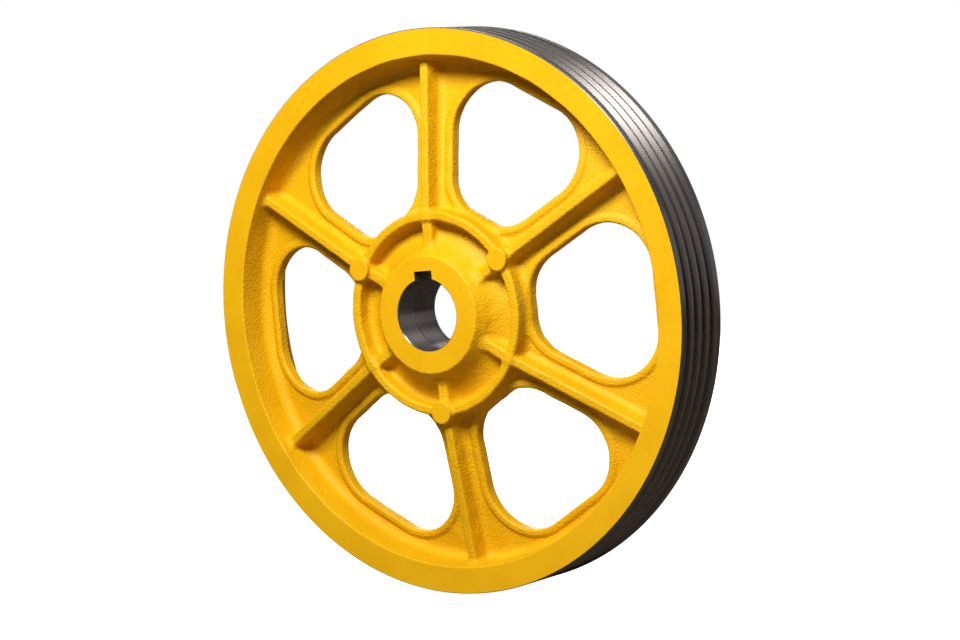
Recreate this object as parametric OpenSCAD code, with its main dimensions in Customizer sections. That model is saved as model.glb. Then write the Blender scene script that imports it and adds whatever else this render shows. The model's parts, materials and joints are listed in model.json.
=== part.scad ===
// V belt pulley: a one-piece iron casting with four turned V grooves.
// The wheel's axis is the Y axis, its front faces -Y, and its keyway is at the top (+Z).
// The origin lies on the axis, midway across the rim.
// Each region of the casting is a solid of its own, and neighbours meet face to face.

/* [Rim] */
// Outside diameter over the belt grooves
outer_d = 480; // [470:2:490]
// Width of the rim
rim_w = 60; // [59:1:64]
// Radial thickness of the rim at its two faces
rim_wall = 23; // [21:0.5:23]
// Draft of the rim's inner wall, from each face to the web
rim_draft = 2.5; // [1.5:0.5:3]
// Fillet between the rim's inner wall and the web
rim_fillet = 6; // [3:0.5:6]
// Bevel on the outer corners of the rim
edge_bevel = 0.6; // [0.4:0.1:1]

/* [Belt grooves] */
// Distance between neighbouring grooves
groove_pitch = 12; // [11.5:0.1:12.2]
// Width of a groove at the outside diameter
groove_top_w = 9.7; // [9:0.1:10]
// Depth of a groove
groove_depth = 11; // [10:0.5:11]
// Included angle of a groove
groove_angle = 38; // [34:1:39]

/* [Web and windows] */
// Thickness of the dished web
web_t = 8; // [7:0.5:9]
// Angle by which the web rises towards the hub
web_cone = 10; // [9:0.5:10.5]
// Width of a spoke between two windows
spoke_w = 37; // [35:1:40]
// Distance from the axis to the middle of a window's outer edge
window_out = 198.5; // [194:0.5:198.5]
// Distance from the axis to the middle of a window's inner edge
window_in = 89; // [89:0.5:93]
// Radius of a window's two outer corners
window_outer_r = 40; // [36:1:42]
// Radius of a window's two inner corners
window_inner_r = 36; // [30:1:38]
// Width of the bead round a window
bead_w = 7; // [5:0.5:7]
// Height of the bead above the web, on both sides
bead_h = 2; // [1:0.5:3]

/* [Spoke ribs] */
// Width of a rib at its crest
rib_crest_w = 8; // [6:0.5:9]
// Width of a rib where it meets the web
rib_root_w = 11; // [10:0.5:13]
// Distance from mid rim to the ribs' crests at the hub ring
rib_front = 38; // [36:0.5:39]
// Angle by which the crests rise towards the hub
rib_cone = 8.5; // [7.5:0.5:9]

/* [Hub] */
// Diameter of the shaft bore
bore_d = 60; // [50:1:62]
// Width of the keyway
key_w = 18; // [14:1:18]
// Depth of the keyway beyond the bore
key_depth = 7; // [4:0.5:7]
// Length of the hub
hub_l = 53; // [51:0.5:55]
// Distance from mid rim to the hub's front face
hub_front = 48.5; // [47:0.5:50]
// Diameter of the hub's front face
hub_face_d = 100; // [98:1:102]
// Bevel at both ends of the bore
bore_bevel = 1; // [0.5:0.1:1.5]
// Outside diameter of the ring round the hub
ring_outer_d = 174; // [173:0.5:175]
// Radial thickness of that ring
ring_wall = 8.5; // [7.5:0.5:9]
// Distance from mid rim to the ring's front edge
ring_front = 39.5; // [39:0.5:41]
// Diameter of the round boss pads
pad_d = 19.5; // [16:0.5:20]
// Distance from mid rim to the pads' flat tops
pad_front = 43; // [42:0.5:45]

/* [Hidden] */
$fn = 96;

paint = [0.96, 0.74, 0.15];
iron = [0.33, 0.31, 0.30];

// Below, z points out of the front of the wheel and y points up; place() turns them into the part's frame.
outer_r = outer_d / 2;
half_w = rim_w / 2;
band_r = outer_r - groove_depth;             // bottom of the grooves
face_r = outer_r - rim_wall;                 // inner edge of the rim's faces
wall_r = face_r - rim_draft;                 // rim's inner wall where it meets the web
foot_r = wall_r - 7;                         // where the rim's fillets have run out
step = 60;                                   // angle from spoke to spoke
half_spoke = spoke_w / 2;
groove_half = groove_top_w / 2;
flank_run = groove_depth * tan(groove_angle / 2);
ridge_half = (groove_pitch - groove_top_w) / 2;
outer_groove_z = 1.5 * groove_pitch;         // middle of the outermost groove
bore_r = bore_d / 2;
hub_back = hub_front - hub_l;
ring_outer_r = ring_outer_d / 2;
ring_inner_r = ring_outer_r - ring_wall;
ring_mid_r = (ring_outer_r + ring_inner_r) / 2;
hub_foot_r = ring_inner_r - 9.5;             // where the hub's flank has run out into the web
flank_corner_r = hub_foot_r - 7.5;           // where the flank and the web would cross
hub_fillet = 9;
hub_rib_half = 4.5;
ring_round = 2.5;
arc_steps = 8;
reach = 300;                                 // longer than anything here

// Height of the web's front surface, and of the ribs' crests, at radius r
function web_z(r) = (wall_r - r) * tan(web_cone);
function crest_z(r) = rib_front - (r - ring_outer_r) * tan(rib_cone);

// Where the ribs' crests run into the rim's drafted wall
wall_slope = rim_draft / half_w;
crest_end_z = crest_z(wall_r) / (1 + wall_slope * tan(rib_cone));
crest_end_r = wall_r + wall_slope * crest_end_z;

function unit(v) = v / norm(v);

// Points of an arc about c from angle a to angle b
function arc(c, r, a, b, n = arc_steps) =
    [for (i = [0:n]) c + r * [cos(a + (b - a) * i / n), sin(a + (b - a) * i / n)]];

// Arc of radius r that rounds the corner at p between its neighbours a and b
function fillet(a, p, b, r) =
    let (u = unit(a - p), v = unit(b - p),
         half = acos(u * v) / 2,
         c = p + unit(u + v) * r / sin(half),
         s = p + u * r / tan(half) - c,
         e = p + v * r / tan(half) - c,
         a0 = atan2(s[1], s[0]),
         turn = atan2(s[0] * e[1] - s[1] * e[0], s * e))
    arc(c, r, a0, a0 + turn);

module place() {
    rotate([90, 0, 0]) children();
}

// Spokes are numbered clockwise from the top, seen from the front
module at_spoke(k) {
    rotate([0, 0, -step * (k - 1)]) children();
}

// Windows are numbered clockwise from the top, each to the right of its spoke
module at_window(k) {
    rotate([0, 0, -step * (k - 0.5)]) children();
}

// Everything behind the web's front surface
module below_web() {
    rotate_extrude()
        polygon([[0, -reach], [reach, -reach], [reach, web_z(reach)], [0, web_z(0)]]);
}

// Dished shell from radius a to radius b, thicker than the web by extra on each side
module web_shell(a, b, extra = 0) {
    rotate_extrude()
        polygon([[a, web_z(a) - web_t - extra], [b, web_z(b) - web_t - extra],
                 [b, web_z(b) + extra], [a, web_z(a) + extra]]);
}

// Outline of one window about +y, grown by g on every side
module window_outline(g = 0) {
    ro = window_outer_r;
    ri = window_inner_r;
    yo = window_out - ro;
    yi = window_in + ri;
    xo = (yo * sin(step / 2) - half_spoke - ro) / cos(step / 2);
    xi = (yi * sin(step / 2) - half_spoke - ri) / cos(step / 2);
    polygon(concat(
        arc([xo, yo], ro + g, 90, -step / 2),
        arc([xi, yi], ri + g, -step / 2, -90),
        arc([-xi, yi], ri + g, -90, step / 2 - 180),
        arc([-xo, yo], ro + g, step / 2 - 180, -270)));
}

module window_prism(g = 0) {
    translate([0, 0, -half_w]) linear_extrude(rim_w + hub_front) window_outline(g);
}

// Painted ring that carries the belt grooves
module rim() {
    front_face = [face_r, half_w];
    back_face = [face_r, -half_w];
    front_corner = [wall_r, web_z(wall_r)];
    back_corner = [wall_r, web_z(wall_r) - web_t];
    front_foot = [foot_r, web_z(foot_r)];
    back_foot = [foot_r, web_z(foot_r) - web_t];
    color(paint) place() rotate_extrude() polygon(concat(
        [[band_r, half_w], front_face],
        fillet(front_face, front_corner, front_foot, rim_fillet),
        [front_foot, back_foot],
        fillet(back_foot, back_corner, back_face, rim_fillet),
        [back_face, [band_r, -half_w]]));
}

// Wide turned land between a rim face and the outermost groove
module edge_land() {
    top_z = outer_groove_z + groove_half;
    rotate_extrude() polygon([
        [band_r, half_w], [band_r, top_z - flank_run], [outer_r, top_z],
        [outer_r, half_w - edge_bevel], [outer_r - edge_bevel, half_w]]);
}

module front_edge_land() {
    color(iron) place() edge_land();
}

module back_edge_land() {
    color(iron) place() mirror([0, 0, 1]) edge_land();
}

// Ridge between two grooves; i runs from the front to the back
module groove_ridge(i) {
    z = groove_pitch * (2 - i);
    root_half = ridge_half + flank_run;
    color(iron) place() rotate_extrude() polygon([
        [band_r, z - root_half], [outer_r, z - ridge_half],
        [outer_r, z + ridge_half], [band_r, z + root_half]]);
}

// One sixth of the dished web: a spoke that flares out to the hub ring and to the rim
module spoke_web(k) {
    color(paint) place() at_spoke(k) difference() {
        intersection() {
            web_shell(ring_outer_r, foot_r);
            translate([0, 0, -half_w]) linear_extrude(rim_w + hub_front)
                polygon([[0, 0], [-reach * tan(step / 2), reach], [reach * tan(step / 2), reach]]);
        }
        at_window(1) window_prism(bead_w);
        at_window(6) window_prism(bead_w);
    }
}

// Round post under a boss pad, from behind the web to the pad's flat top
module pad_post() {
    translate([0, ring_mid_r + 1, 0]) cylinder(d = pad_d, h = pad_front);
}

module pad_posts() {
    for (k = [2, 4, 6]) at_spoke(k) pad_post();
}

// Drafted rib on the middle of a spoke's front
module spoke_rib(k) {
    run = 150;
    rise = rib_front;
    lean = (rib_root_w - rib_crest_w) / 2 / (rib_front - web_z(ring_outer_r));
    root = rib_root_w / 2;
    color(paint) place() difference() {
        intersection() {
            at_spoke(k) translate([0, wall_r + 5, web_z(wall_r + 5)]) rotate([90 - web_cone, 0, 0])
                linear_extrude(run) polygon([
                    [-root - lean * 5, -5], [root + lean * 5, -5],
                    [root - lean * rise, rise], [-root + lean * rise, rise]]);
            rotate_extrude() polygon(concat(
                [[ring_outer_r, web_z(ring_outer_r)], [foot_r, web_z(foot_r)]],
                fillet([foot_r, web_z(foot_r)], [wall_r, web_z(wall_r)], [face_r, half_w], rim_fillet),
                [[crest_end_r, crest_end_z], [ring_outer_r, rib_front]]));
        }
        pad_posts();
    }
}

// Raised bead round a window, on both sides of the web
module window_bead(k) {
    color(paint) place() intersection() {
        at_window(k) difference() {
            window_prism(bead_w);
            window_prism();
        }
        web_shell(ring_outer_r, foot_r, bead_h);
    }
}

// Ring round the hub that ties the ribs together
module hub_ring() {
    inner_top = [ring_inner_r, ring_front];
    outer_top = [ring_outer_r, ring_front];
    inner_low = [ring_inner_r, web_z(ring_inner_r) - web_t];
    outer_low = [ring_outer_r, web_z(ring_outer_r) - web_t];
    color(paint) place() difference() {
        rotate_extrude() polygon(concat(
            [inner_low, outer_low],
            fillet(outer_low, outer_top, inner_top, ring_round),
            fillet(outer_top, inner_top, inner_low, ring_round)));
        difference() {
            pad_posts();
            below_web();
        }
    }
}

// Floor of the pockets between the ring and the hub
module hub_web() {
    color(paint) place() web_shell(hub_foot_r, ring_inner_r);
}

// Hub without its bore
module hub_blank() {
    front_edge = [hub_face_d / 2, hub_front];
    back_edge = [hub_face_d / 2 + 1, hub_back];
    front_corner = [flank_corner_r, web_z(flank_corner_r)];
    back_corner = [flank_corner_r, web_z(flank_corner_r) - web_t];
    front_foot = [hub_foot_r, web_z(hub_foot_r)];
    back_foot = [hub_foot_r, web_z(hub_foot_r) - web_t];
    rotate_extrude() polygon(concat(
        [[0, hub_back], [0, hub_front], front_edge],
        fillet(front_edge, front_corner, front_foot, hub_fillet),
        [front_foot, back_foot],
        fillet(back_foot, back_corner, back_edge, hub_fillet),
        [back_edge]));
}

// Low wall that joins the hub's flank to the ring
module hub_rib(k) {
    front_edge = [hub_face_d / 2, hub_front];
    front_corner = [flank_corner_r, web_z(flank_corner_r)];
    front_foot = [hub_foot_r, web_z(hub_foot_r)];
    top_share = (hub_front - rib_front) / (hub_front - front_corner[1]);
    color(paint) place() difference() {
        intersection() {
            at_spoke(k) translate([-hub_rib_half, 0, 0]) cube([2 * hub_rib_half, ring_outer_r, hub_front]);
            rotate_extrude() polygon(concat(
                [[ring_inner_r, web_z(ring_inner_r)], [ring_inner_r, rib_front],
                 front_edge + top_share * (front_corner - front_edge)],
                fillet(front_edge, front_corner, front_foot, hub_fillet),
                [front_foot]));
        }
        pad_posts();
    }
}

// Flat-topped round pad on the ring
module boss_pad(i) {
    color(paint) place() difference() {
        at_spoke(2 * i) pad_post();
        below_web();
    }
}

// Hub with its bore and keyway
module hub() {
    color(paint) place() difference() {
        hub_blank();
        translate([0, 0, hub_back - 1]) cylinder(r = bore_r, h = hub_l + 2);
        translate([0, 0, hub_front - bore_bevel])
            cylinder(r1 = bore_r, r2 = bore_r + 2 * bore_bevel, h = 2 * bore_bevel);
        translate([0, 0, hub_back - bore_bevel])
            cylinder(r1 = bore_r + 2 * bore_bevel, r2 = bore_r, h = 2 * bore_bevel);
        translate([-key_w / 2, 0, hub_back - 1]) cube([key_w, bore_r + key_depth, hub_l + 2]);
    }
}

rim();
front_edge_land();
groove_ridge(1);  // groove_ridge_1
groove_ridge(2);  // groove_ridge_2
groove_ridge(3);  // groove_ridge_3
back_edge_land();
spoke_web(1);  // spoke_web_1
spoke_web(2);  // spoke_web_2
spoke_web(3);  // spoke_web_3
spoke_web(4);  // spoke_web_4
spoke_web(5);  // spoke_web_5
spoke_web(6);  // spoke_web_6
spoke_rib(1);  // spoke_rib_1
spoke_rib(2);  // spoke_rib_2
spoke_rib(3);  // spoke_rib_3
spoke_rib(4);  // spoke_rib_4
spoke_rib(5);  // spoke_rib_5
spoke_rib(6);  // spoke_rib_6
window_bead(1);  // window_bead_1
window_bead(2);  // window_bead_2
window_bead(3);  // window_bead_3
window_bead(4);  // window_bead_4
window_bead(5);  // window_bead_5
window_bead(6);  // window_bead_6
hub_ring();
hub_web();
hub_rib(1);  // hub_rib_1
hub_rib(2);  // hub_rib_2
hub_rib(3);  // hub_rib_3
hub_rib(4);  // hub_rib_4
hub_rib(5);  // hub_rib_5
hub_rib(6);  // hub_rib_6
boss_pad(1);  // boss_pad_1
boss_pad(2);  // boss_pad_2
boss_pad(3);  // boss_pad_3
hub();
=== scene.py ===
"""V belt pulley: the looks of a one-piece iron casting, built round its CAD frame.

The cast body is one smooth shape, given by casting() as a distance field in millimetres. In the wheel's own
coordinates x points right, y up and z out of the front, and spokes and windows are numbered clockwise from
the top. Each CAD node of the cast body gets the piece of that shape that lies in its own cell, so the
pieces meet without a seam. The lands and ridges of the grooved band are turned rings.
"""
import json
import math

import bpy
import numpy as np
from mathutils import Matrix, Vector


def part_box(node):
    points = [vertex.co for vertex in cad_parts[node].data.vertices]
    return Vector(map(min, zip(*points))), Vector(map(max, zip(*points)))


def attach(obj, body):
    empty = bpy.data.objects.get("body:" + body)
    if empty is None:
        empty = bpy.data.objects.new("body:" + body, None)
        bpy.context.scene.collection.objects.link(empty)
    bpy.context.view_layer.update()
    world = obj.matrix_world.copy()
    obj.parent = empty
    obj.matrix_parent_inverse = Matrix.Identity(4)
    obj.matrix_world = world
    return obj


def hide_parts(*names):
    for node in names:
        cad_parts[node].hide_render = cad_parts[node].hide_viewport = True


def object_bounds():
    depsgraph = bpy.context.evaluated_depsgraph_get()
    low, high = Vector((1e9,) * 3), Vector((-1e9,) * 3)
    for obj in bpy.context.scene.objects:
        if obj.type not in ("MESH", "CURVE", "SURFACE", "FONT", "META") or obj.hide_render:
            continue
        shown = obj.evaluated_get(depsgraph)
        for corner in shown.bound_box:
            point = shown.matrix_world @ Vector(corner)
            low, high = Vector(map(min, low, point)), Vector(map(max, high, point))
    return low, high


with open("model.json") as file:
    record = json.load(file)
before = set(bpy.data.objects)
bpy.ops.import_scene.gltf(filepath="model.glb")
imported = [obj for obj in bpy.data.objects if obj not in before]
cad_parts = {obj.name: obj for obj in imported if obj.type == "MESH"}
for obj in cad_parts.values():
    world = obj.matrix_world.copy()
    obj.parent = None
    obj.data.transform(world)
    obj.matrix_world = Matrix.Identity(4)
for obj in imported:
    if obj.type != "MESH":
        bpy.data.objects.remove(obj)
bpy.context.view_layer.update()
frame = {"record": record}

MM = 0.001


def deg(a):
    return math.radians(a)


def span(node):
    """Lowest and highest corner of a CAD node in the wheel's coordinates, in millimetres."""
    lo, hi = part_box(node)
    return np.array([lo[0], lo[2], -hi[1]]) / MM, np.array([hi[0], hi[2], -lo[1]]) / MM


# ---------------------------------------------------------------- sizes that the frame states, in mm
MOUNTS = {m["name"]: m for m in frame["record"]["mounts"]}
STEP = deg(60)
HALF_RIM = round(span("rim")[1][2], 3)
OUTER_R = MOUNTS["belt_groove_1"]["dims"]["r_mm"]
BAND_R = round(span("rim")[1][0])          # bottom of the grooves
RING_OUT = round(span("hub_ring")[1][0], 1)
RING_TOP = round(span("hub_ring")[1][2], 2)
HUB_CELL_R = round(span("hub")[1][0])      # where the hub's piece ends
HUB_FRONT = -MOUNTS["hub_front_face"]["pos_m"][1] / MM
HUB_BACK = -MOUNTS["hub_back_face"]["pos_m"][1] / MM
BORE_R = MOUNTS["shaft_bore"]["dims"]["r_mm"]
KEY_TOP = MOUNTS["keyway"]["pos_m"][2] / MM
GROOVES = [-MOUNTS["belt_groove_%d" % i]["pos_m"][1] / MM for i in (1, 2, 3, 4)]
PAD_TOP = round(span("boss_pad_1")[1][2], 2)
PAD_R = round((span("boss_pad_2")[1][0] - span("boss_pad_2")[0][0]) / 2, 2)
RIB_TOP = round(span("spoke_rib_1")[1][2], 2)

# ---------------------------------------------------------------- sizes that the frame doesn't state, in mm
RING_IN = RING_OUT - 8.5
KEY_HALF = 9.0                             # half the keyway's width
PAD_AT = RING_OUT - 3.25                   # from the axis to a pad's middle
PAD_LEAN = 0.02                            # how much its radius shrinks for each mm of depth
FOOT_R = 207.5                             # where the rim's piece starts
WALL_R = 214.5                             # the rim's inner wall at the middle of its width
WALL_DRAFT = 2.5                           # how much wider that wall is at the rim's faces
WEB_T = 8.0
CONE = deg(10)                             # slope of the web
HUB_FOOT_R = 61.5                          # where the hub's two cones end
HUB_FRONT_R, HUB_BACK_R = 50.0, 51.0       # where they start
RIB_CONE = deg(8.5)                        # slope of the spoke ribs' crests
CREST_HALF = 4.0                           # half a spoke rib's width at its crest
RIB_LEAN = 0.0968                          # how much its half width grows for each mm of depth
LOW_CREST_HALF = 4.9                       # the same for the low ribs between the hub and the ring
LOW_LEAN = 0.08
RIB_REACH = 2.0                            # from the ring's inner wall to where both kinds of rib end
WIN_OUT, WIN_IN, WIN_SIDE = 198.5, 89.0, 18.5
WIN_R_OUT, WIN_R_IN = 40.0, 36.0           # corners of a window
BEAD_W, BEAD_HALF_T = 7.0, 5.9

# Fillets at the foot of beads, of rim and hub, of ribs and ring, between those two, and of pads.
BEAD_FILLET, FOOT_FILLET, BONE_FILLET, RIB_FILLET, PAD_FILLET = 2.2, 9.0, 5.5, 3.5, 3.0
# Rounded edges of the spoke ribs, of the ring, low ribs and beads, of the pads, of the rim and of the hub.
ROUND_CREST, ROUND_RING, ROUND_PAD, ROUND_RIM, ROUND_HUB = 2.2, 2.6, 1.0, 0.9, 1.1

RIB_CELL_HALF, LOW_CELL_HALF = 5.5, 4.5    # half the width of the ribs' pieces
TALL, WIDE = 90.0, 300.0                   # past the wheel along its axis and across it
TURNS = 720                                # sides of a turned solid


# ---------------------------------------------------------------- distance fields
def join(a, b, r):
    """Union of two fields with a fillet of radius r."""
    return np.maximum(r, np.minimum(a, b)) - np.hypot(np.maximum(r - a, 0), np.maximum(r - b, 0))


def common(a, b, r):
    """What two fields have in common, with the edge between them rounded to radius r."""
    return np.minimum(-r, np.maximum(a, b)) + np.hypot(np.maximum(r + a, 0), np.maximum(r + b, 0))


def web_z(r):
    """Height of the web's front surface at a radius."""
    return (WALL_R - r) * math.tan(CONE)


def waviness(r, th, z):
    """Slow unevenness of a sand casting, in mm. It repeats three times round the wheel."""
    rng = np.random.default_rng(7)
    out, waves, height = 0 * r, 9, 0.055
    for _ in range(waves):
        across, round_, deep = rng.uniform(0.12, 0.34), 3 * rng.integers(3, 13), rng.uniform(0.1, 0.35)
        first, second = rng.uniform(0, 6.3), rng.uniform(0, 6.3)
        out += np.sin(across * r + round_ * th + first) * np.cos(deep * z + second)
    return height * out


def window_corners():
    """Centres of a window's outer and inner right-hand corners: x and y of the one, then of the other."""
    c, s = math.cos(STEP / 2), math.sin(STEP / 2)
    yo, yi = WIN_OUT - WIN_R_OUT, WIN_IN + WIN_R_IN
    return (yo * s - WIN_SIDE - WIN_R_OUT) / c, yo, (yi * s - WIN_SIDE - WIN_R_IN) / c, yi


def window(a, u, v):
    """Distance outside a window's edge, for points at a from the spoke's middle.

    u runs outwards along the window's middle and v across it, from 0 up.
    """
    c, s = math.cos(STEP / 2), math.sin(STEP / 2)
    xo, yo, xi, yi = window_corners()
    along = v * s + u * c
    flat = np.maximum(np.maximum(u - WIN_OUT, WIN_IN - u), WIN_SIDE - a)
    outer = np.hypot(v - xo, u - yo) - WIN_R_OUT
    inner = np.hypot(v - xi, u - yi) - WIN_R_IN
    flat = np.where((v > xo) & (along > xo * s + yo * c), outer, flat)
    return np.where((v > xi) & (along < xi * s + yi * c), inner, flat)


def casting(p):
    """Distance from the cast body's surface, in mm, negative inside. The bore isn't in it."""
    x, y, z = p[..., 0], p[..., 1], p[..., 2]
    r, th = np.hypot(x, y), np.arctan2(x, y)
    spoke = np.round(th / STEP)
    t = np.abs(th - spoke * STEP)
    a, s = r * np.sin(t), r * np.cos(t)                    # across and along the nearest spoke
    v, u = r * np.sin(STEP / 2 - t), r * np.cos(STEP / 2 - t)
    deep = (z - web_z(r) + WEB_T / 2) * math.cos(CONE)     # from the middle of the web, towards the front

    w = window(a, u, v)
    web = np.maximum(np.abs(deep) - WEB_T / 2 * math.cos(CONE), BEAD_W / 2 - w)
    qa = np.abs(w - BEAD_W / 2) - BEAD_W / 2 + ROUND_RING
    qb = np.abs(deep) - BEAD_HALF_T + ROUND_RING
    bead = np.hypot(np.maximum(qa, 0), np.maximum(qb, 0)) + np.minimum(np.maximum(qa, qb), 0) - ROUND_RING
    d = join(web, bead, BEAD_FILLET)

    lean = math.atan(WALL_DRAFT / HALF_RIM)
    wall = (WALL_R + WALL_DRAFT * np.abs(z) / HALF_RIM - r) * math.cos(lean)
    d = join(d, wall, FOOT_FILLET)

    beta = math.atan2(HUB_FOOT_R - HUB_FRONT_R, HUB_FRONT - web_z(HUB_FOOT_R))
    front = (r - HUB_FRONT_R) * math.cos(beta) + (z - HUB_FRONT) * math.sin(beta)
    gamma = math.atan2(HUB_FOOT_R - HUB_BACK_R, web_z(HUB_FOOT_R) - WEB_T - HUB_BACK)
    back = (r - HUB_BACK_R) * math.cos(gamma) - (z - HUB_BACK) * math.sin(gamma)
    d = join(d, np.maximum(front, back), FOOT_FILLET)

    behind = -deep - 1                                     # above 0 where ribs and pads have ended
    crest = (z - RIB_TOP + (r - RING_OUT) * math.tan(RIB_CONE)) * math.cos(RIB_CONE)
    flank = a - CREST_HALF + RIB_LEAN * crest
    rib = np.maximum(common(flank, crest, ROUND_CREST), RING_IN + RIB_REACH - r)
    sides = np.abs(r - (RING_OUT + RING_IN) / 2) - (RING_OUT - RING_IN) / 2
    ring = common(sides, z - RING_TOP, ROUND_RING)
    low_flank = a - LOW_CREST_HALF + LOW_LEAN * (z - RIB_TOP)
    low = np.maximum(common(low_flank, z - RIB_TOP, ROUND_RING), r - RING_IN - RIB_REACH)
    bones = join(join(ring, rib, RIB_FILLET), low, RIB_FILLET)
    d = join(d, np.maximum(bones, behind), BONE_FILLET)

    d = d + waviness(r, th, z)
    far, free = 40.0, 1000.0                               # where there is no pad, and where no cut applies
    side = np.hypot(a, s - PAD_AT) - PAD_R + PAD_LEAN * (PAD_TOP - z)
    post = np.where(np.mod(spoke, 2) == 1, side, far)
    d = join(d, np.maximum(common(post, z - PAD_TOP, ROUND_PAD), behind), PAD_FILLET)
    d = common(d, np.abs(z) - HALF_RIM - free * (r < 150), ROUND_RIM)
    return common(d, np.maximum(z - HUB_FRONT, HUB_BACK - z - free * (r > 75)), ROUND_HUB)


def rise(p):
    """Gradient of casting() at points p."""
    h = 0.03
    return np.stack([casting(p + h * e) - casting(p - h * e) for e in np.eye(3)], -1) / (2 * h)


def slope(p):
    """Unit normals of the casting at points p."""
    g = rise(p)
    return g / np.maximum(np.linalg.norm(g, axis=-1, keepdims=True), 1e-9)


def sample(points):
    """casting() on a grid of points, worked out in full only in the blocks that the surface may cross."""
    size = 8
    middle = casting(points[size // 2::size, size // 2::size, size // 2::size])
    reach = 0.8 * np.linalg.norm(points[size, size, size] - points[0, 0, 0]) + 1
    pick = [np.minimum(np.arange(n) // size, m - 1) for n, m in zip(points.shape, middle.shape)]
    out = middle[np.ix_(*pick)]
    near = np.abs(out) < reach
    out[near] = casting(points[near])
    return out


def surface(points, round_trip=False):
    """Closed surface of the casting on a grid of points, as vertices and quads.

    It has one vertex in each cell that the surface crosses. round_trip says that the grid's second axis
    closes on itself.
    """
    field = sample(points)
    field = np.pad(field, [(1, 1), (0, 0) if round_trip else (1, 1), (1, 1)], constant_values=1.0)
    where = np.pad(points, [(1, 1), (0, 0) if round_trip else (1, 1), (1, 1), (0, 0)], mode="edge")
    if round_trip:
        field = np.concatenate([field, field[:, :1]], 1)
        where = np.concatenate([where, where[:, :1]], 1)
    cells = np.array(field.shape) - 1
    inside = field < 0
    corners = [(i, j, k) for i in (0, 1) for j in (0, 1) for k in (0, 1)]
    views = [inside[i:cells[0] + i, j:cells[1] + j, k:cells[2] + k] for i, j, k in corners]
    count = sum(v.astype(np.int8) for v in views)
    index = np.full(tuple(cells), -1)
    active = np.argwhere((count > 0) & (count < 8))
    index[tuple(active.T)] = np.arange(len(active))
    total, hits = np.zeros((len(active), 3)), np.zeros(len(active))
    for c in corners:
        for axis in range(3):
            if c[axis]:
                continue
            e = tuple(v + (n == axis) for n, v in enumerate(c))
            i0, i1 = tuple((active + c).T), tuple((active + e).T)
            f0, f1 = field[i0], field[i1]
            cross = (f0 < 0) != (f1 < 0)
            t = np.where(cross, f0 / np.where(cross, f0 - f1, 1), 0)[:, None]
            total += np.where(cross[:, None], where[i0] + t * (where[i1] - where[i0]), 0)
            hits += cross
    verts = total / hits[:, None]
    quads = []
    for axis in range(3):
        b, c = (axis + 1) % 3, (axis + 2) % 3
        cut = [slice(None)] * 3
        ahead = list(cut)
        cut[axis], ahead[axis] = slice(0, cells[axis]), slice(1, None)
        here, there = inside[tuple(cut)], inside[tuple(ahead)]
        edges = np.argwhere(here != there)
        if round_trip:
            edges = edges[edges[:, 1] < cells[1]]
        flip = here[tuple(edges.T)]
        around = []
        for db, dc in ((-1, -1), (0, -1), (0, 0), (-1, 0)):
            at = edges.copy()
            at[:, b] += db
            at[:, c] += dc
            if round_trip:
                at[:, 1] %= cells[1]
            around.append(index[tuple(at.T)])
        q = np.stack(around, 1)
        quads.append(np.where(flip[:, None], q, q[:, ::-1]))
    return verts, np.concatenate(quads)


def settle(verts):
    """Moves vertices near the casting's surface onto it, in two steps of at most half a millimetre."""
    verts = verts.copy()
    near, most = np.abs(casting(verts)) < 0.6, 0.5
    for _ in range(2):
        p = verts[near]
        g = rise(p)
        move = -casting(p)[:, None] * g / np.maximum((g * g).sum(-1, keepdims=True), 0.25)
        verts[near] = p + np.clip(move, -most, most)
    return verts


def box_grid(lo, hi, h):
    """Grid of points h apart between two corners."""
    axes = [np.arange(a, b + h, h) for a, b in zip(lo, hi)]
    return np.stack(np.meshgrid(*axes, indexing="ij"), -1)


def round_grid(r0, r1, z0, z1, h, turns):
    """Grid that goes once round the axis in so many steps."""
    r, z = np.arange(r0, r1 + h, h), np.arange(z0, z1 + h, h)
    th = np.arange(turns) * 2 * math.pi / turns
    rr, tt, zz = np.meshgrid(r, th, z, indexing="ij")
    return np.stack([rr * np.cos(tt), rr * np.sin(tt), zz], -1)


# ---------------------------------------------------------------- meshes
TO_CAD = Matrix(((1, 0, 0, 0), (0, 0, -1, 0), (0, 1, 0, 0), (0, 0, 0, 1)))


def mesh_object(name, verts, faces):
    """New object from vertices and faces; faces is an array of quads or a list of any polygons."""
    me = bpy.data.meshes.new(name)
    if isinstance(faces, np.ndarray):
        me.vertices.add(len(verts))
        me.vertices.foreach_set("co", np.asarray(verts, np.float32).ravel())
        me.loops.add(faces.size)
        me.loops.foreach_set("vertex_index", faces.astype(np.int32).ravel())
        me.polygons.add(len(faces))
        me.polygons.foreach_set("loop_start", np.arange(0, faces.size, faces.shape[1], dtype=np.int32))
        me.update(calc_edges=True)
    else:
        me.from_pydata([tuple(map(float, v)) for v in verts], [], faces)
    ob = bpy.data.objects.new(name, me)
    bpy.context.scene.collection.objects.link(ob)
    return ob


def lathe(profile):
    """Solid of revolution of a profile [(r, z), ...] that runs anticlockwise and stays off the axis."""
    n = len(profile)
    th = np.arange(TURNS) * 2 * math.pi / TURNS
    ring = np.array(profile, float)
    verts = np.stack([ring[None, :, 0] * np.sin(th)[:, None], ring[None, :, 0] * np.cos(th)[:, None],
                      np.broadcast_to(ring[None, :, 1], (TURNS, n))], -1).reshape(-1, 3)
    i, j = np.meshgrid(np.arange(TURNS), np.arange(n), indexing="ij")
    i2, j2 = (i + 1) % TURNS, (j + 1) % n
    faces = np.stack([i * n + j, i * n + j2, i2 * n + j2, i2 * n + j], -1).reshape(-1, 4)
    return verts, faces


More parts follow.
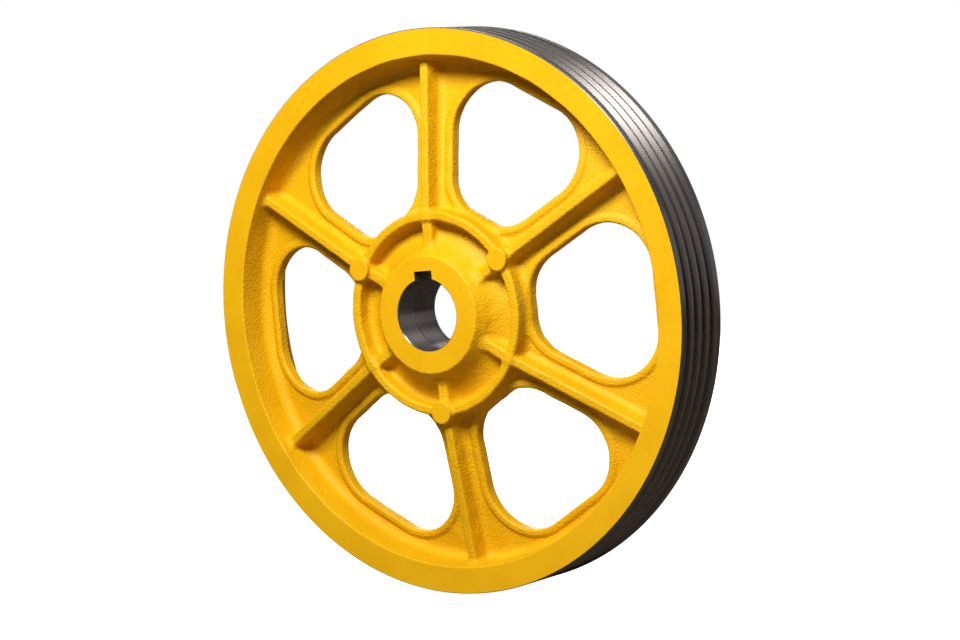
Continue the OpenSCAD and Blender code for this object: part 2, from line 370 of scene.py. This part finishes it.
def prism(outline):
    """Prism through the wheel, of an outline [(x, y), ...] that runs anticlockwise."""
    n = len(outline)
    verts = [(x, y, -TALL) for x, y in outline] + [(x, y, TALL) for x, y in outline]
    sides = [(i, (i + 1) % n, n + (i + 1) % n, n + i) for i in range(n)]
    return verts, sides + [tuple(range(n - 1, -1, -1)), tuple(range(n, 2 * n))]


def bool_with(ob, solid, how):
    """Cuts ob by a solid, given as (verts, faces) or as an object, which is used up. how is KEEP or CUT."""
    cutter = mesh_object("cutter", *solid) if isinstance(solid, tuple) else solid
    mod = ob.modifiers.new("cut", "BOOLEAN")
    mod.object, mod.operation, mod.solver = cutter, how, "MANIFOLD"
    done = bpy.data.meshes.new_from_object(ob.evaluated_get(bpy.context.evaluated_depsgraph_get()))
    ob.modifiers.clear()
    ob.data = done
    bpy.data.objects.remove(cutter)
    return ob


def overlap(first, second):
    """Object that holds what two solids have in common."""
    return bool_with(mesh_object("overlap", *first), second, "INTERSECT")


def numbers(items, name, width=1, kind=np.float32):
    """One attribute of all a mesh's vertices, loops or faces, as an array."""
    out = np.empty(len(items) * width, kind)
    items.foreach_get(name, out)
    return out.reshape(-1, width) if width > 1 else out


PAINT_CAST, PAINT_TURNED, IRON = 0, 1, 2        # material slots, in the order of FINISHES
# Heights of the turned and painted faces, each with the radii that it lies between.
TURNED_FACES = [(HALF_RIM, 215, 241), (-HALF_RIM, 215, 241), (HUB_FRONT, 0, 60), (HUB_BACK, 0, 60),
                (PAD_TOP, 70, 100)]


def dress(ob):
    """Sets a cut piece's material slots and works out its loop normals.

    They are the casting's own on its skin, radial in the bore and under the grooves, and flat elsewhere.
    """
    me = ob.data
    me.materials.clear()
    co, corner = numbers(me.vertices, "co", 3), numbers(me.loops, "vertex_index", kind=np.int32)
    sides = numbers(me.polygons, "loop_total", kind=np.int32)
    middle, flat = numbers(me.polygons, "center", 3), numbers(me.polygons, "normal", 3)
    skin = (np.abs(casting(middle)) < 0.15) & ((slope(middle) * flat).sum(1) > 0.6)
    r = np.hypot(middle[:, 0], middle[:, 1])
    radial = np.abs((flat[:, 0] * middle[:, 0] + flat[:, 1] * middle[:, 1]) / np.maximum(r, 1e-6)) > 0.999
    bare = ~skin & radial & ((np.abs(r - BORE_R) < 0.2) | (np.abs(r - BAND_R) < 0.2))
    vertex_n = slope(co)
    out_n = co * [1, 1, 0] / np.maximum(np.hypot(co[:, 0], co[:, 1]), 1e-6)[:, None]
    poly = np.repeat(np.arange(len(sides)), sides)
    facing = np.sign((out_n[corner] * flat[poly]).sum(1, keepdims=True))
    normals = np.where(skin[poly][:, None], vertex_n[corner], flat[poly])
    normals = np.where(bare[poly][:, None], out_n[corner] * facing, normals)
    slots = np.full(len(sides), PAINT_CAST, np.int32)
    level = np.abs(flat[:, 2]) > 0.995
    z = middle[:, 2]
    for height, low, high in TURNED_FACES:
        slots[level & skin & (np.abs(z - height) < 0.05) & (r > low) & (r < high)] = PAINT_TURNED
    slots[~skin & (r < BORE_R + 9.5) & (np.abs(z) < 60) & (r > 1)] = IRON
    slots[bare] = IRON
    me.polygons.foreach_set("material_index", slots)
    me.polygons.foreach_set("use_smooth", np.ones(len(sides), bool))
    return normals


MADE = []


def stand_for(ob, node, normals, sixths=0):
    """Puts a piece, turned clockwise by some sixths of a turn, in the CAD frame in place of its node."""
    ob.name = node + "_piece"
    ob.data.name = ob.name
    place = TO_CAD @ Matrix.Rotation(-STEP * sixths, 4, "Z")
    ob.data.transform(Matrix.Scale(MM, 4) @ place)
    turned = normals @ np.array(place.to_3x3()).T
    ob.data.normals_split_custom_set(turned.tolist())
    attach(ob, "root")
    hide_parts(node)
    MADE.append(ob)


def spread(ob, kind, nodes):
    """Gives copies of a piece to three nodes of its kind, each a third of a turn on from the last."""
    normals = dress(ob)
    for third, k in enumerate(nodes):
        copy = bpy.data.objects.new(ob.name, ob.data.copy())
        bpy.context.scene.collection.objects.link(copy)
        stand_for(copy, kind + "_%d" % k, normals, 2 * third)
    bpy.data.objects.remove(ob)


# ---------------------------------------------------------------- the cells that share out the casting
def tube(r0, r1):
    """Everything between two radii."""
    return lathe([(r0, -TALL), (r1, -TALL), (r1, TALL), (r0, TALL)])


def upper(r0, r1):
    """Everything in front of the web's front surface between two radii."""
    return lathe([(r0, web_z(r0)), (r1, web_z(r1)), (r1, TALL), (r0, TALL)])


def arc(c, r, a, b, n):
    """Points of an arc round c, from a to b degrees in n steps."""
    t = np.radians(np.linspace(a, b, n + 1))
    return [(c[0] + r * math.cos(q), c[1] + r * math.sin(q)) for q in t]


def turned(points, sixths):
    """Points of an outline, turned clockwise by some sixths of a turn."""
    c, s = math.cos(STEP * sixths), math.sin(STEP * sixths)
    return [(x * c + y * s, y * c - x * s) for x, y in points]


def bead_cell(k):
    """Prism inside the outer edge of the bead round window k."""
    xo, yo, xi, yi = window_corners()
    ro, ri = WIN_R_OUT + BEAD_W, WIN_R_IN + BEAD_W
    outline = (arc((-xi, yi), ri, -150, -90, 24) + arc((xi, yi), ri, -90, -30, 24)
               + arc((xo, yo), ro, -30, 90, 48) + arc((-xo, yo), ro, 90, 210, 48))
    clean = [p for p, q in zip(outline, outline[1:] + outline[:1]) if math.dist(p, q) > 1e-6]
    return prism(turned(clean, k - 0.5))


def slab(k, half, r0, r1):
    """Upright slab along spoke k."""
    return prism(turned([(-half, r0), (half, r0), (half, r1), (-half, r1)], k - 1))


def rib_slab(k):
    return slab(k, RIB_CELL_HALF, 70, 230)


def low_slab(k):
    return slab(k, LOW_CELL_HALF, 60, 90)


def sector(k):
    """The sixth of the wheel round spoke k."""
    s, c = WIDE * math.sin(STEP / 2), WIDE * math.cos(STEP / 2)
    return prism(turned([(0, 0), (s, c), (-s, c)], k - 1))


def pad_cell(k):
    """Cylinder round the boss pad on spoke k, a little wider than the pad."""
    sides = 96
    around = arc((0, 0), PAD_R + 0.6, 0, 360 - 360 / sides, sides - 1)
    return prism(turned([(x, y + PAD_AT) for x, y in around], k - 1))


def cast_piece(node, *cuts):
    """The casting round a CAD node, cut by solids in turn: (KEEP or CUT, solid)."""
    lo, hi = span(node)
    room = np.array([3, 3, 15])              # more along z, so that no cut leaves a piece short of its cell
    verts, quads = surface(box_grid(lo - room, hi + room, 0.8))
    ob = mesh_object(node, settle(verts), quads)
    for how, solid in cuts:
        bool_with(ob, solid, how)
    return ob


# ---------------------------------------------------------------- the cast pieces
KEEP, CUT = "INTERSECT", "DIFFERENCE"


def front_of(solid, r0, r1):
    """The part of a solid that lies in front of the web, as an object."""
    return overlap(solid, upper(r0, r1))


def pad_room(k):
    return front_of(pad_cell(k), 60, 110)


def make_rim():
    grid = round_grid(FOOT_R - 6, BAND_R + 3, -HALF_RIM - 3, HALF_RIM + 3, 1.2, 1080)
    verts, quads = surface(grid, round_trip=True)
    ob = bool_with(mesh_object("rim", settle(verts), quads), tube(FOOT_R, BAND_R), KEEP)
    stand_for(ob, "rim", dress(ob))


def make_spokes():
    """The first two spokes and windows, and their copies. Only every second spoke has a pad."""
    for k in (1, 2):
        rib = cast_piece("spoke_rib_%d" % k, (KEEP, rib_slab(k)), (KEEP, upper(RING_OUT, FOOT_R)))
        web = cast_piece("spoke_web_%d" % k, (KEEP, sector(k)), (KEEP, tube(RING_OUT, FOOT_R)),
                         (CUT, bead_cell(k - 1)), (CUT, bead_cell(k)),
                         (CUT, front_of(rib_slab(k), RING_OUT - 1, FOOT_R + 1)))
        low = cast_piece("hub_rib_%d" % k, (KEEP, low_slab(k)), (KEEP, upper(HUB_CELL_R, RING_IN)))
        if k == 2:
            for ob in (rib, web, low):
                bool_with(ob, pad_room(k), CUT)
        bead = cast_piece("window_bead_%d" % k, (KEEP, bead_cell(k)), (KEEP, tube(RING_OUT, FOOT_R)))
        for ob, kind in ((rib, "spoke_rib"), (web, "spoke_web"), (low, "hub_rib"), (bead, "window_bead")):
            spread(ob, kind, (k, k + 2, k + 4))


def make_hub():
    ring = cast_piece("hub_ring", (KEEP, tube(RING_IN, RING_OUT)), *[(CUT, pad_room(k)) for k in (2, 4, 6)])
    floor = cast_piece("hub_web", (KEEP, tube(HUB_CELL_R, RING_IN)), *[(CUT, pad_room(k)) for k in (2, 4, 6)],
                       *[(CUT, front_of(low_slab(k), HUB_CELL_R - 1, RING_IN + 1)) for k in range(1, 7)])
    bevel, clear = 1.0, 1.0
    bored = lathe([(BORE_R, HUB_BACK + bevel), (BORE_R + bevel + clear, HUB_BACK - clear),
                   (HUB_CELL_R, HUB_BACK - clear), (HUB_CELL_R, HUB_FRONT + clear),
                   (BORE_R + bevel + clear, HUB_FRONT + clear), (BORE_R, HUB_FRONT - bevel)])
    keyway = prism([(-KEY_HALF, 0), (KEY_HALF, 0), (KEY_HALF, KEY_TOP), (-KEY_HALF, KEY_TOP)])
    hub = cast_piece("hub", (KEEP, bored), (CUT, keyway))
    for ob, node in ((ring, "hub_ring"), (floor, "hub_web"), (hub, "hub")):
        stand_for(ob, node, dress(ob))
    spread(cast_piece("boss_pad_1", (KEEP, pad_room(2))), "boss_pad", (1, 2, 3))


# ---------------------------------------------------------------- the turned band
def rounded(points, radii):
    """Profile with rounded corners: [(point, normal of the face before, normal of the face after), ...]."""
    out = []
    for i, radius in enumerate(radii):
        p, q = np.array(points[i], float), np.array(points[(i + 1) % len(points)], float)
        a, b = np.array(points[i - 1], float) - p, q - p
        a, b = a / np.linalg.norm(a), b / np.linalg.norm(b)
        before, after = np.array([-a[1], a[0]]), np.array([b[1], -b[0]])
        if not radius:
            out.append((p, before, after))
            continue
        half = math.acos(a @ b) / 2
        centre = p + (a + b) / np.linalg.norm(a + b) * radius / math.sin(half)
        for t in np.linspace(0, 1, 6):
            d = before * (1 - t) + after * t
            d = d / np.linalg.norm(d)
            out.append((centre + d * radius, d, d))
    return out


def turned_ring(node, points, radii):
    """Solid of revolution of a profile with its corners rounded, in place of a node."""
    profile = rounded(points, radii)
    ob = mesh_object(node, *lathe([p for p, _, _ in profile]))
    me = ob.data
    start = np.array([after for _, _, after in profile])
    end = np.roll(np.array([before for _, before, _ in profile]), -1, axis=0)
    flat = np.stack([start, end, end, start], 1)           # r and z of the normals at a face's four corners
    th = np.arange(TURNS + 1) * 2 * math.pi / TURNS
    around = np.stack([th[:-1], th[:-1], th[1:], th[1:]], 1)[:, None]
    out, along = flat[None, :, :, 0], np.broadcast_to(flat[None, :, :, 1], (TURNS,) + flat.shape[:2])
    normals = np.stack([out * np.sin(around), out * np.cos(around), along], -1).reshape(-1, 3)
    face_z = np.abs(numbers(me.polygons, "center", 3)[:, 2])
    slots = np.where(np.abs(face_z - HALF_RIM) < 0.02, PAINT_TURNED, IRON).astype(np.int32)
    me.polygons.foreach_set("material_index", slots)
    me.polygons.foreach_set("use_smooth", np.ones(len(slots), bool))
    stand_for(ob, node, normals)


def make_band():
    """Two edge lands and the three ridges between the grooves, in the shapes that the CAD nodes have."""
    land_low = round(span("front_edge_land")[0][2], 2)     # foot of the outermost flank
    lo, hi = span("groove_ridge_1")
    root = (hi[2] - lo[2]) / 2                             # half a ridge's width at its foot
    run = (OUTER_R - BAND_R) * math.tan(deg(19))           # how far a flank leans
    bevel, ease = 0.6, 0.35
    for i, node in enumerate(("groove_ridge_1", "groove_ridge_2", "groove_ridge_3")):
        z = (GROOVES[i] + GROOVES[i + 1]) / 2
        turned_ring(node, [(BAND_R, z - root), (OUTER_R, z - root + run), (OUTER_R, z + root - run),
                           (BAND_R, z + root)], [0, ease, ease, 0])
    front = [(BAND_R, land_low), (OUTER_R, land_low + run), (OUTER_R, HALF_RIM - bevel),
             (OUTER_R - bevel, HALF_RIM), (BAND_R, HALF_RIM)]
    ease_at = [0, ease, 0.3, 0.3, 0]
    turned_ring("front_edge_land", front, ease_at)
    turned_ring("back_edge_land", [(r, -z) for r, z in front[::-1]], ease_at[::-1])


# ---------------------------------------------------------------- materials
class Nodes:
    """A new material and short names for building its node tree, in metres."""

    def __init__(self, name):
        self.material = bpy.data.materials.new(name)
        self.material.use_nodes = True
        self.tree = self.material.node_tree
        self.shader = self.tree.nodes["Principled BSDF"]
        self.place = self.add("ShaderNodeTexCoord").outputs["Object"]

    def add(self, kind, **settings):
        node = self.tree.nodes.new(kind)
        for key, value in settings.items():
            if hasattr(node, key):
                setattr(node, key, value)
            else:
                node.inputs[key.replace("_", " ")].default_value = value
        return node

    def link(self, out, socket):
        self.tree.links.new(out, socket)

    def noise(self, scale, detail=2.0, rough=0.5, at=None):
        node = self.add("ShaderNodeTexNoise", Scale=scale, Detail=detail, Roughness=rough)
        self.link(at or self.place, node.inputs["Vector"])
        return node.outputs["Fac"]

    def ramp(self, fac, low, high, a, b):
        """Maps fac from low..high to a..b, numbers or colours."""
        if isinstance(a, (int, float)):
            node = self.add("ShaderNodeMapRange", From_Min=low, From_Max=high, To_Min=a, To_Max=b)
            self.link(fac, node.inputs["Value"])
            return node.outputs["Result"]
        node = self.add("ShaderNodeValToRGB")
        node.color_ramp.elements[0].position, node.color_ramp.elements[1].position = low, high
        node.color_ramp.elements[0].color, node.color_ramp.elements[1].color = (*a, 1), (*b, 1)
        self.link(fac, node.inputs["Fac"])
        return node.outputs["Color"]

    def bump(self, height, distance, strength, under=None):
        node = self.add("ShaderNodeBump", Distance=distance, Strength=strength)
        self.link(height, node.inputs["Height"])
        if under:
            self.link(under, node.inputs["Normal"])
        return node.outputs["Normal"]

    def into(self, name, out):
        self.link(out, self.shader.inputs[name])

    def set(self, **values):
        for key, value in values.items():
            self.shader.inputs[key.replace("_", " ")].default_value = value


def enamel(name, grain, ripple, rough):
    """Yellow enamel. grain and ripple are the heights of the sand's pebbles and of slower waves."""
    n = Nodes(name)
    pebbles = n.add("ShaderNodeTexVoronoi", feature="SMOOTH_F1", Scale=520.0, Smoothness=0.6,
                    Randomness=1.0)
    n.link(n.place, pebbles.inputs["Vector"])
    crown = n.ramp(pebbles.outputs["Distance"], 0.05, 0.75, 1.0, 0.0)
    n.into("Base Color", n.ramp(n.noise(22, 4, 0.6), 0.3, 0.72, (0.60, 0.312, 0.001), (0.67, 0.362, 0.003)))
    n.into("Roughness", n.ramp(n.noise(260, 3), 0.3, 0.7, rough - 0.05, rough + 0.07))
    normal = n.bump(n.noise(90, 3, 0.55), ripple, 0.5)
    normal = n.bump(crown, grain, 1.0, normal)
    normal = n.bump(n.noise(1500, 3, 0.6), grain * 0.3, 0.6, normal)
    n.into("Normal", normal)
    n.set(Specular_IOR_Level=0.18)
    return n.material


def turned_iron():
    """Bare grey iron with the fine lines of turning, which depend on radius and height alone."""
    n = Nodes("turned_iron")
    split = n.add("ShaderNodeSeparateXYZ")
    n.link(n.place, split.inputs["Vector"])
    flat = n.add("ShaderNodeCombineXYZ")
    n.link(split.outputs["X"], flat.inputs["X"])
    n.link(split.outputs["Z"], flat.inputs["Y"])
    radius = n.add("ShaderNodeVectorMath", operation="LENGTH")
    n.link(flat.outputs["Vector"], radius.inputs[0])
    across = n.add("ShaderNodeCombineXYZ")
    n.link(radius.outputs["Value"], across.inputs["X"])
    n.link(split.outputs["Y"], across.inputs["Y"])
    lines = n.noise(330, 2, 0.5, across.outputs["Vector"])
    bands = n.noise(420, 3, 0.6, across.outputs["Vector"])
    n.into("Base Color", n.ramp(bands, 0.3, 0.7, (0.105, 0.092, 0.084), (0.17, 0.153, 0.143)))
    n.into("Roughness", n.ramp(bands, 0.3, 0.7, 0.32, 0.42))
    n.into("Normal", n.bump(lines, 0.00002, 0.5))
    n.set(Metallic=0.7, Anisotropic=0.9, Anisotropic_Rotation=0.25)
    way = n.add("ShaderNodeTangent", direction_type="RADIAL", axis="Y")
    n.into("Tangent", way.outputs["Tangent"])
    return n.material


# ---------------------------------------------------------------- the studio
def camera_only(tree, seen, lit, out):
    """Shows one shader to the camera and another to all other rays."""
    path, mix = tree.nodes.new("ShaderNodeLightPath"), tree.nodes.new("ShaderNodeMixShader")
    tree.links.new(path.outputs["Is Camera Ray"], mix.inputs["Fac"])
    tree.links.new(lit, mix.inputs[1])
    tree.links.new(seen, mix.inputs[2])
    tree.links.new(mix.outputs[0], out.inputs["Surface"])


def white_stage():
    """Pale floor under the wheel, in one tone with the background."""
    low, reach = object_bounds()[0].z - 0.0005, 60.0
    me = bpy.data.meshes.new("floor")
    me.from_pydata([(-reach, -reach, low), (reach, -reach, low), (reach, reach, low), (-reach, reach, low)],
                   [], [(0, 1, 2, 3)])
    floor = bpy.data.objects.new("floor", me)
    bpy.context.scene.collection.objects.link(floor)
    n = Nodes("floor_white")
    n.set(Base_Color=(0.85, 0.85, 0.85, 1), Roughness=0.9)
    n.set(Emission_Color=(1, 1, 1, 1), Emission_Strength=0.97)
    dim = n.add("ShaderNodeBsdfDiffuse")
    dim.inputs["Color"].default_value = (0.20, 0.17, 0.14, 1)
    out = n.tree.nodes["Material Output"]
    camera_only(n.tree, n.shader.outputs["BSDF"], dim.outputs["BSDF"], out)
    me.materials.append(n.material)


def white_world(light):
    """White behind the wheel, and a dimmer light from all round it."""
    world = bpy.data.worlds.new("studio")
    bpy.context.scene.world = world
    world.use_nodes = True
    tree = world.node_tree
    tree.nodes.clear()
    shades = []
    for strength in (1.0, light):
        shade = tree.nodes.new("ShaderNodeBackground")
        shade.inputs["Color"].default_value = (1, 1, 1, 1)
        shade.inputs["Strength"].default_value = strength
        shades.append(shade.outputs["Background"])
    camera_only(tree, *shades, tree.nodes.new("ShaderNodeOutputWorld"))


def soft_box(name, at, size, watts):
    """Area light that faces the middle of the wheel."""
    data = bpy.data.lights.new(name, "AREA")
    data.shape, data.size, data.size_y, data.energy = "RECTANGLE", size[0], size[1], watts
    lamp = bpy.data.objects.new(name, data)
    bpy.context.scene.collection.objects.link(lamp)
    lamp.location = at
    lamp.rotation_euler = (-Vector(at)).to_track_quat("-Z", "Y").to_euler()


def camera():
    """Camera from the front right, rolled a little, with the wheel turned a few degrees on its axis."""
    azimuth, roll, pan, tilt, phase = deg(36.466), deg(-9.3385), deg(-0.3752), deg(0.2053), deg(4.58)
    away = 10.5 * OUTER_R * MM
    out = Vector((math.sin(azimuth), -math.cos(azimuth), 0))
    right = Vector((math.cos(azimuth), math.sin(azimuth), 0))
    up = Vector((0, 0, 1))
    x = right * math.cos(roll) + up * math.sin(roll)
    y = up * math.cos(roll) - right * math.sin(roll)
    x, ahead = x * math.cos(pan) - out * math.sin(pan), -x * math.sin(pan) - out * math.cos(pan)
    y, ahead = y * math.cos(tilt) + ahead * math.sin(tilt), ahead * math.cos(tilt) - y * math.sin(tilt)
    axes = Matrix((x, y, -ahead)).transposed()
    turn = Matrix.Rotation(-phase, 3, "Y")
    data = bpy.data.cameras.new("camera")
    data.lens, data.sensor_width = 110.8, 36.0
    data.clip_start, data.clip_end = 0.1, 200
    ob = bpy.data.objects.new("camera", data)
    bpy.context.scene.collection.objects.link(ob)
    ob.matrix_world = Matrix.Translation(turn @ (out * away)) @ (turn @ axes).to_4x4()
    bpy.context.scene.camera = ob


make_rim()
make_spokes()
make_hub()
make_band()
FINISHES = [enamel("cast_enamel", grain=0.00034, ripple=0.0003, rough=0.5),
            enamel("faced_enamel", grain=0.00002, ripple=0.00008, rough=0.48), turned_iron()]
for ob in MADE:
    for material in FINISHES:
        ob.data.materials.append(material)

camera()
white_stage()
white_world(0.045)
soft_box("key", (0.42, -1.12, 1.08), (0.6, 0.5), 49)
soft_box("front", (-0.5, -3.0, 0.7), (2.0, 1.6), 3)
soft_box("back_right", (1.7, 2.3, 0.1), (1.6, 1.6), 9)
soft_box("back_left", (-1.75, 2.2, 0.75), (1.6, 1.2), 48)
soft_box("top", (-0.2, -0.2, 2.2), (1.0, 1.0), 4)
bpy.context.scene.view_settings.view_transform = "Standard"
